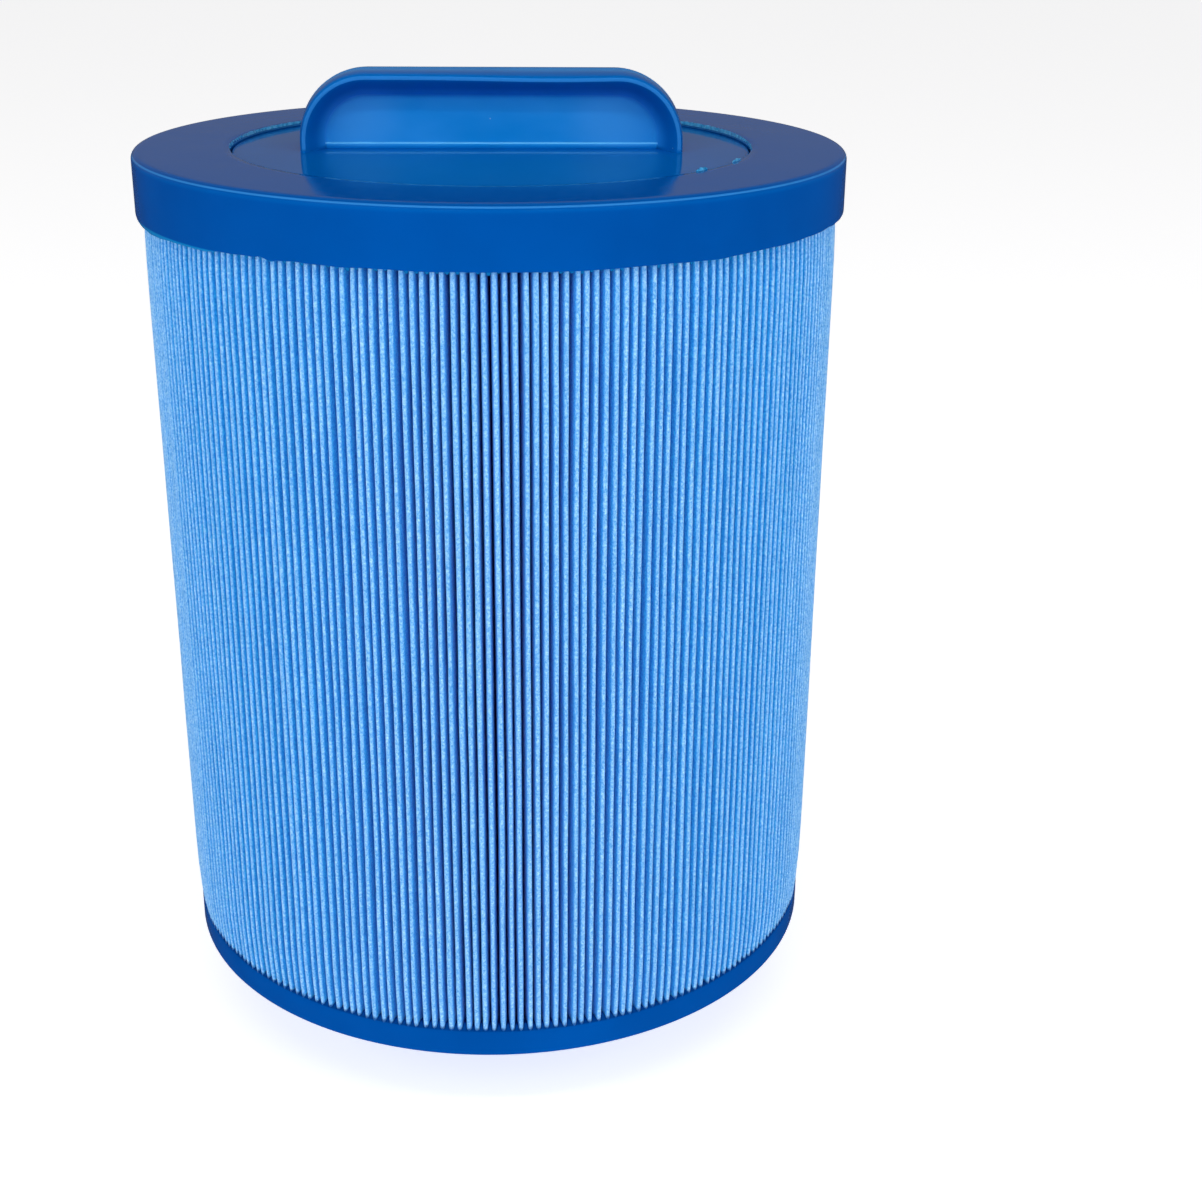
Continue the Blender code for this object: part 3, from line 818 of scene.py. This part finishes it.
class Nodes:
    """A short way to write a material's nodes."""

    def __init__(self, name):
        self.material = bpy.data.materials.new(name)
        self.material.use_nodes = True
        self.tree = self.material.node_tree
        self.shader = self.tree.nodes["Principled BSDF"]
        self.place = self.tree.nodes.new("ShaderNodeTexCoord").outputs["Object"]

    def set(self, **values):
        """Values of the shader's own sockets; an underscore stands for a space."""
        for name, value in values.items():
            self.shader.inputs[name.replace("_", " ")].default_value = value

    def link(self, source, target):
        self.tree.links.new(source, self.shader.inputs[target])

    def stretched(self, scale, turn=(0.0, 0.0, 0.0)):
        node = self.tree.nodes.new("ShaderNodeMapping")
        node.inputs["Scale"].default_value = scale
        node.inputs["Rotation"].default_value = turn
        self.tree.links.new(self.place, node.inputs["Vector"])
        return node.outputs["Vector"]

    def noise(self, scale, detail=2.0, roughness=0.5, vector=None):
        node = self.tree.nodes.new("ShaderNodeTexNoise")
        node.inputs["Scale"].default_value = scale
        node.inputs["Detail"].default_value = detail
        node.inputs["Roughness"].default_value = roughness
        self.tree.links.new(vector or self.place, node.inputs["Vector"])
        return node.outputs["Fac"]

    def specks(self, spacing, size):
        """1 in small round specks, about one in every cell of that spacing, and 0 elsewhere."""
        node = self.tree.nodes.new("ShaderNodeTexVoronoi")
        node.inputs["Scale"].default_value = 1.0 / spacing
        self.tree.links.new(self.place, node.inputs["Vector"])
        return self.ramp(node.outputs["Distance"], [(0.6 * size / spacing, 1.0), (size / spacing, 0.0)])

    def attribute(self, name):
        node = self.tree.nodes.new("ShaderNodeAttribute")
        node.attribute_name = name
        return node.outputs["Fac"]

    def coordinate(self, axis):
        node = self.tree.nodes.new("ShaderNodeSeparateXYZ")
        self.tree.links.new(self.place, node.inputs[0])
        return node.outputs[axis]

    def radius(self):
        """Distance from the cartridge's axis."""
        flat = self.tree.nodes.new("ShaderNodeVectorMath")
        flat.operation = "MULTIPLY"
        flat.inputs[1].default_value = (1.0, 1.0, 0.0)
        self.tree.links.new(self.place, flat.inputs[0])
        length = self.tree.nodes.new("ShaderNodeVectorMath")
        length.operation = "LENGTH"
        self.tree.links.new(flat.outputs["Vector"], length.inputs[0])
        return length.outputs["Value"]

    def depth_from_web(self):
        """Distance from the XZ plane, in which the handle's web lies."""
        distance = self.tree.nodes.new("ShaderNodeMath")
        distance.operation = "ABSOLUTE"
        self.tree.links.new(self.coordinate("Y"), distance.inputs[0])
        return distance.outputs[0]

    def spot(self, middle):
        """1 at a place, fading to 0 at 13 mm from it."""
        offset = self.tree.nodes.new("ShaderNodeVectorMath")
        offset.operation = "DISTANCE"
        offset.inputs[1].default_value = middle
        self.tree.links.new(self.place, offset.inputs[0])
        return self.between(offset.outputs["Value"], 0.002, 0.013, 1.0, 0.0)

    def band(self, value, low, high, soft):
        """1 between low and high, falling to 0 within soft on each side."""
        rising = self.between(value, low - soft, low)
        falling = self.between(value, high, high + soft, 1.0, 0.0)
        return self.mix(1.0, rising, falling, "MULTIPLY")

    def between(self, value, low, high, to_low=0.0, to_high=1.0):
        node = self.tree.nodes.new("ShaderNodeMapRange")
        node.interpolation_type = "SMOOTHSTEP"
        for name, number in (("From Min", low), ("From Max", high), ("To Min", to_low), ("To Max", to_high)):
            node.inputs[name].default_value = number
        self.tree.links.new(value, node.inputs["Value"])
        return node.outputs["Result"]

    def ramp(self, value, stops):
        return colour_ramp(self.tree, value, stops)

    def mix(self, share, first, second, blend="MIX"):
        """Colour mix; first and second are colours or outputs, and share is a number or an output."""
        node = self.tree.nodes.new("ShaderNodeMix")
        node.data_type = "RGBA"
        node.blend_type = blend
        for name, value in (("Factor_Float", share), ("A_Color", first), ("B_Color", second)):
            socket = next(s for s in node.inputs if s.identifier == name)
            if isinstance(value, bpy.types.NodeSocket):
                self.tree.links.new(value, socket)
            else:
                socket.default_value = (*value, 1.0) if isinstance(value, tuple) else value
        return next(s for s in node.outputs if s.identifier == "Result_Color")

    def part(self, value, share):
        """A share of a grey value."""
        return self.mix(1.0, value, (share, share, share), "MULTIPLY")

    def bump(self, value, strength, distance, under=None):
        node = self.tree.nodes.new("ShaderNodeBump")
        node.inputs["Strength"].default_value = strength
        node.inputs["Distance"].default_value = distance
        self.tree.links.new(value, node.inputs["Height"])
        if under:
            self.tree.links.new(under, node.inputs["Normal"])
        return node.outputs["Normal"]


def polyurethane():
    """Cast blue polyurethane: saturated, smooth, with faint clouding, a soft skin and rare bubbles.
    The upper face is painted a little lighter, as painted light from above; the rounded rim carries a painted
    highlight band and line, and the inner edge at the seam a painted highlight. The thin potting film under
    the top cap is lighter. Painted shade darkens the potting between the pleats' lower ends."""
    n = Nodes("cap_polyurethane")
    n.set(IOR=1.13, Specular_Tint=BLUE_GLOSS)
    height = n.coordinate("Z")
    cloud = n.ramp(n.noise(38.0, 3.0), [(0.3, (0.0, 0.062, 0.300)), (0.7, (0.0, 0.074, 0.350))])
    # Painted light: the upper face is painted a little lighter, as if lit from above.
    face = n.between(height, TOP_Z - 0.0003, TOP_Z - 0.0001)
    cast = n.mix(face, cloud, (0.0, 0.092, 0.40))
    # Painted highlight: a lighter band round the rounded rim.
    band = n.band(height, TOP_Z - 0.90 * RIM_ROUNDING, TOP_Z - 0.35 * RIM_ROUNDING, 0.0007)
    cast = n.mix(n.part(band, 0.25), cast, (0.0, 0.135, 0.48))
    # Painted highlight: a bright thin line along the rim's rounding.
    line = n.band(height, TOP_Z - 0.50 * RIM_ROUNDING, TOP_Z - 0.36 * RIM_ROUNDING, 0.00012)
    cast = n.mix(n.part(line, 0.5), cast, (0.05, 0.32, 0.78))
    # Painted highlight: a lighter line along the cap's rounded inner edge at the seam, on the upper face.
    seam = n.band(n.radius(), PLATE_RADIUS + 0.0003, PLATE_RADIUS + 0.0006, 0.0002)
    seam = n.mix(1.0, seam, face, "MULTIPLY")
    cast = n.mix(n.part(seam, 0.5), cast, (0.01, 0.17, 0.50))
    bubbles = n.specks(0.013, 0.00022)
    film = n.band(height, SKIRT_Z - 0.0030, SKIRT_Z - 0.0001, 0.0003)
    colour = n.mix(film, cast, (0.004, 0.18, 0.46))
    # Painted shade: the potting between the pleats' lower ends is darker, as shade in the valleys.
    potting_valley_shade = n.band(height, BASE_TOP_Z - 0.0001, BASE_TOP_Z + 0.0020, 0.0003)
    colour = n.mix(potting_valley_shade, colour, (0.0, 0.042, 0.22))
    n.link(n.mix(bubbles, colour, (0.10, 0.32, 0.62)), "Base Color")
    n.link(n.between(n.noise(420.0, 2.0), 0.3, 0.7, 0.07, 0.14), "Roughness")
    skin = n.bump(n.noise(55.0, 1.0), 0.25, 0.0004)
    n.link(n.bump(n.noise(1500.0, 2.0), 0.06, 0.0001, skin), "Normal")
    return n.material


def thin_flash():
    """Thin slivers of the same casting, where light comes through and turns it teal."""
    n = Nodes("cap_flash")
    n.set(IOR=1.35)
    n.link(n.ramp(n.noise(900.0, 3.0), [(0.3, (0.0, 0.24, 0.58)), (0.7, (0.10, 0.52, 0.88))]), "Base Color")
    n.link(n.between(n.noise(700.0), 0.3, 0.7, 0.15, 0.35), "Roughness")
    n.link(n.bump(n.noise(1800.0, 2.0), 0.4, 0.0002), "Normal")
    return n.material


def handle_plastic():
    """Injection-moulded handle: the thin web lets light through and is lighter and satin, with two painted
    reflections of the lamps. The rim is darker, partly as thicker plastic and partly as painted shade in the
    cove under its lip, and glossy, with a painted highlight along the lip's front; the plate is polished.
    Flow marks run over all of it."""
    n = Nodes("handle_plastic")
    n.set(IOR=1.14, Specular_Tint=BLUE_GLOSS)
    height = n.coordinate("Z")
    away = n.depth_from_web()
    flow = n.noise(26.0, 3.0, 0.55, n.stretched((1.0, 0.4, 2.2), (0.0, 0.6, 0.0)))
    thin = n.ramp(flow, [(0.3, (0.0, 0.212, 0.64)), (0.7, (0.024, 0.290, 0.78))])
    thick_and_shaded = n.ramp(flow, [(0.3, (0.0, 0.116, 0.44)), (0.7, (0.0, 0.136, 0.51))])
    raised = n.between(height, PLATE_Z + 0.0001, PLATE_Z + 0.0009)
    # Painted reflections: two lighter patches on the web where the lamps would reflect.
    left_lamp_reflection = n.spot((-0.029, 0.0, PLATE_Z + 0.0072))
    right_lamp_reflection = n.spot((0.026, 0.0, PLATE_Z + 0.0060))
    painted_lamp_reflections = n.mix(1.0, left_lamp_reflection, right_lamp_reflection, "ADD")
    thin = n.mix(n.part(painted_lamp_reflections, 0.50), thin, (0.06, 0.33, 0.81))
    # Farther from the web the colour deepens: partly the thicker plastic, partly painted shade in the cove
    # under the lip.
    colour = n.mix(n.between(away, 0.0010, 0.0058), thin, thick_and_shaded)
    # Painted highlight: a lighter band along the lip's front-most face.
    lip = n.between(away, HANDLE_HALF_DEPTH - 0.00016, HANDLE_HALF_DEPTH - 0.00005)
    colour = n.mix(n.part(lip, 0.45), colour, (0.05, 0.32, 0.80))
    colour = n.mix(raised, n.part(thick_and_shaded, 0.97), colour)
    foot = n.band(height, PLATE_Z + WEB_FOOT_HEIGHT - 0.00018, PLATE_Z + WEB_FOOT_HEIGHT + 0.00008, 0.00008)
    foot = n.mix(1.0, foot, n.band(away, 0.00125, 0.0018, 0.0001), "MULTIPLY")
    colour = n.mix(foot, colour, (0.11, 0.50, 0.90))
    specks = n.specks(0.011, 0.00018)
    n.link(n.mix(specks, colour, (0.22, 0.45, 0.75)), "Base Color")
    satin = n.between(away, 0.0013, 0.0030, 0.36, 0.14)
    n.link(n.mix(raised, (0.06, 0.06, 0.06), satin), "Roughness")
    skin = n.bump(n.noise(48.0, 1.0), 0.2, 0.0004)
    n.link(n.bump(n.noise(1300.0, 2.0), 0.08, 0.0001, skin), "Normal")
    return n.material


def core_plastic():
    """Unpolished moulded lattice with faint drag lines along its height."""
    n = Nodes("core_plastic")
    n.set(IOR=1.4)
    lines = n.noise(240.0, 3.0, 0.6, n.stretched((1.0, 1.0, 0.12)))
    n.link(n.ramp(lines, [(0.3, (0.01, 0.13, 0.45)), (0.7, (0.03, 0.18, 0.56))]), "Base Color")
    n.link(n.between(n.noise(300.0), 0.3, 0.7, 0.42, 0.58), "Roughness")
    n.link(n.bump(lines, 0.3, 0.0002), "Normal")
    return n.material


def media_fabric():
    """Spun-bonded polyester: mottled fibres pressed flat, each pleat a little different in tone."""
    n = Nodes("media_fabric")
    n.set(IOR=1.25, Roughness=0.92, Specular_Tint=BLUE_GLOSS)
    n.set(Sheen_Weight=0.16, Sheen_Roughness=0.5, Sheen_Tint=(0.95, 0.95, 0.98, 1.0))
    fibres = n.noise(2300.0, 5.0, 0.70, n.stretched((1.0, 1.0, 0.8)))
    strands = n.noise(1500.0, 3.0, 0.6, n.stretched((1.0, 1.0, 0.25), (0.6, 0.35, 0.0)))
    mottled = n.ramp(
        fibres,
        [(0.36, (0.09, 0.36, 0.81)), (0.50, (0.225, 0.52, 0.94)), (0.64, (0.44, 0.73, 0.99))],
    )
    fine = n.ramp(strands, [(0.38, (0.80, 0.89, 0.93)), (0.62, (1.0, 1.0, 1.0))])
    tone = n.ramp(
        n.noise(520.0, 1.0, 0.5, n.stretched((1.0, 1.0, 0.02))),
        [(0.35, (0.86, 0.93, 0.95)), (0.65, (1.0, 1.0, 1.0))],
    )
    # Painted shade: the walls and valleys get a darker, more saturated blue the further they lie below the
    # crests.
    depth = n.attribute("depth")
    wall = n.mix(n.between(depth, 0.05, 0.50), (1.0, 1.0, 1.0), (0.10, 0.69, 0.93))
    painted_pleat_shade = n.mix(n.between(depth, 0.8, 6.0), wall, (0.0, 0.55, 1.0))
    cloth = n.mix(1.0, n.mix(1.0, mottled, fine, "MULTIPLY"), tone, "MULTIPLY")
    cloth_with_painted_shade = n.mix(1.0, cloth, painted_pleat_shade, "MULTIPLY")
    ragged = n.mix(0.0012, n.coordinate("Z"), n.noise(1400.0, 2.0), "ADD")
    soaked = n.between(ragged, BASE_TOP_Z + 0.0006, BASE_TOP_Z + 0.0016, 1.0, 0.0)
    n.link(n.mix(soaked, cloth_with_painted_shade, (0.0, 0.075, 0.32)), "Base Color")
    felt = n.bump(fibres, 0.75, 0.00028)
    n.link(n.bump(strands, 0.5, 0.0002, felt), "Normal")
    return n.material


def seam_adhesive():
    """Cured adhesive, paler than the fabric and slightly glossy."""
    n = Nodes("seam_adhesive")
    n.set(IOR=1.45)
    n.link(n.ramp(n.noise(420.0, 2.0), [(0.3, (0.24, 0.48, 0.78)), (0.7, (0.36, 0.62, 0.90))]), "Base Color")
    n.link(n.between(n.noise(500.0), 0.3, 0.7, 0.25, 0.45), "Roughness")
    n.link(n.bump(n.noise(900.0, 2.0), 0.3, 0.0002), "Normal")
    return n.material


def adapter_plastic():
    """Lighter blue fitting, satin, with fine turning marks round the axis."""
    n = Nodes("adapter_plastic")
    n.set(IOR=1.38)
    rings = n.noise(900.0, 2.0, 0.6, n.stretched((0.02, 0.02, 1.0)))
    cloud = n.ramp(n.noise(90.0, 3.0), [(0.3, (0.0, 0.18, 0.60)), (0.7, (0.004, 0.23, 0.72))])
    specks = n.specks(0.009, 0.0002)
    n.link(n.mix(specks, cloud, (0.15, 0.42, 0.80)), "Base Color")
    n.link(n.between(rings, 0.3, 0.7, 0.20, 0.34), "Roughness")
    n.link(n.bump(rings, 0.15, 0.0001), "Normal")
    return n.material


# ---------------------------------------- studio


def stage_material(name, strength):
    n = Nodes(name)
    n.set(Roughness=0.6, IOR=1.3, Base_Color=(0.9, 0.9, 0.9, 1.0))
    n.set(Emission_Color=(1.0, 1.0, 1.0, 1.0), Emission_Strength=strength)
    return n.material


def stage_piece(name, corners, faces, strength):
    """A pale part of the studio that isn't seen in reflections."""
    mesh = bpy.data.meshes.new(name)
    mesh.from_pydata(corners, [], faces)
    mesh.materials.append(stage_material(name, strength))
    piece = placed(name, mesh)
    piece.visible_glossy = False
    return piece


def make_studio():
    """A pale floor that the cartridge stands on, and a pale wall round it that gives no light."""
    half = 4.0
    corners = [(-half, -half, 0.0), (half, -half, 0.0), (half, half, 0.0), (-half, half, 0.0)]
    stage_piece("studio_floor", corners, [(0, 1, 2, 3)], 0.62)
    sides = 64
    turns = [2 * math.pi * i / sides for i in range(sides)]
    corners = [(half * math.cos(a), half * math.sin(a), z) for z in (0.0, half) for a in turns]
    faces = [(i, (i + 1) % sides, sides + (i + 1) % sides, sides + i) for i in range(sides)]
    wall = stage_piece("studio_wall", corners, faces, 0.90)
    wall.visible_diffuse = False
    wall.visible_shadow = False


def make_world():
    """Soft grey surroundings: dark below the horizon, a grey room at eye level and lighter overhead."""
    world = bpy.data.worlds.new("studio")
    world.use_nodes = True
    tree = world.node_tree
    background = tree.nodes["Background"]
    place = tree.nodes.new("ShaderNodeTexCoord")
    split = tree.nodes.new("ShaderNodeSeparateXYZ")
    level = tree.nodes.new("ShaderNodeMapRange")
    level.inputs["From Min"].default_value = -1.0
    tree.links.new(place.outputs["Generated"], split.inputs[0])
    tree.links.new(split.outputs["Z"], level.inputs["Value"])
    stops = [
        (0.46, (0.04, 0.05, 0.07)),
        (0.53, (0.21, 0.21, 0.225)),
        (0.65, (0.225, 0.22, 0.235)),
        (0.88, 0.34),
    ]
    tree.links.new(colour_ramp(tree, level.outputs["Result"], stops), background.inputs["Color"])
    bpy.context.scene.world = world


def softbox(name, place, size, power, target=(0.0, 0.0, 0.12)):
    light = bpy.data.lights.new(name, "AREA")
    light.shape = "RECTANGLE"
    light.size, light.size_y = size
    light.energy = power
    box = placed(name, light)
    box.location = place
    direction = Vector(target) - Vector(place)
    box.rotation_mode = "QUATERNION"
    box.rotation_quaternion = direction.to_track_quat("-Z", "Y")


def make_lights():
    softbox("front_left", (-1.0, -1.1, 0.90), (1.0, 0.9), 7.4)
    softbox("front_right", (1.0, -1.1, 0.90), (1.0, 0.9), 6.9)
    softbox("fill_left", (-0.30, -1.25, 0.50), (0.28, 0.40), 1.3)
    softbox("fill_right", (0.34, -1.25, 0.50), (0.28, 0.40), 1.3)
    softbox("high_front", (0.0, -0.80, 1.05), (0.60, 0.05), 2.0)


def make_camera():
    data = bpy.data.cameras.new("camera")
    data.sensor_width = 36.0
    data.lens = CAMERA_LENS
    camera = placed("camera", data)
    flat = math.cos(CAMERA_PITCH)
    forward = Vector((math.sin(CAMERA_YAW) * flat, math.cos(CAMERA_YAW) * flat, -math.sin(CAMERA_PITCH)))
    right = Vector((math.cos(CAMERA_YAW), -math.sin(CAMERA_YAW), 0.0))
    up = right.cross(forward)
    rolled_right = math.cos(CAMERA_ROLL) * right + math.sin(CAMERA_ROLL) * up
    rolled_up = math.cos(CAMERA_ROLL) * up - math.sin(CAMERA_ROLL) * right
    turn = Matrix((rolled_right, rolled_up, -forward)).transposed()
    camera.matrix_world = Matrix.Translation(CAMERA_PLACE) @ turn.to_4x4()
    bpy.context.scene.camera = camera


def main():
    bpy.context.scene.view_settings.view_transform = "Standard"
    cast = polyurethane()
    make_top_end_cap(cast, thin_flash())
    make_handle_plate(handle_plastic())
    make_core_lattice(core_plastic())
    make_seam_bead(seam_adhesive())
    make_base_cap(cast)
    make_threaded_adapter(adapter_plastic())
    make_pleated_media(media_fabric())
    make_studio()
    make_world()
    make_lights()
    make_camera()


main()
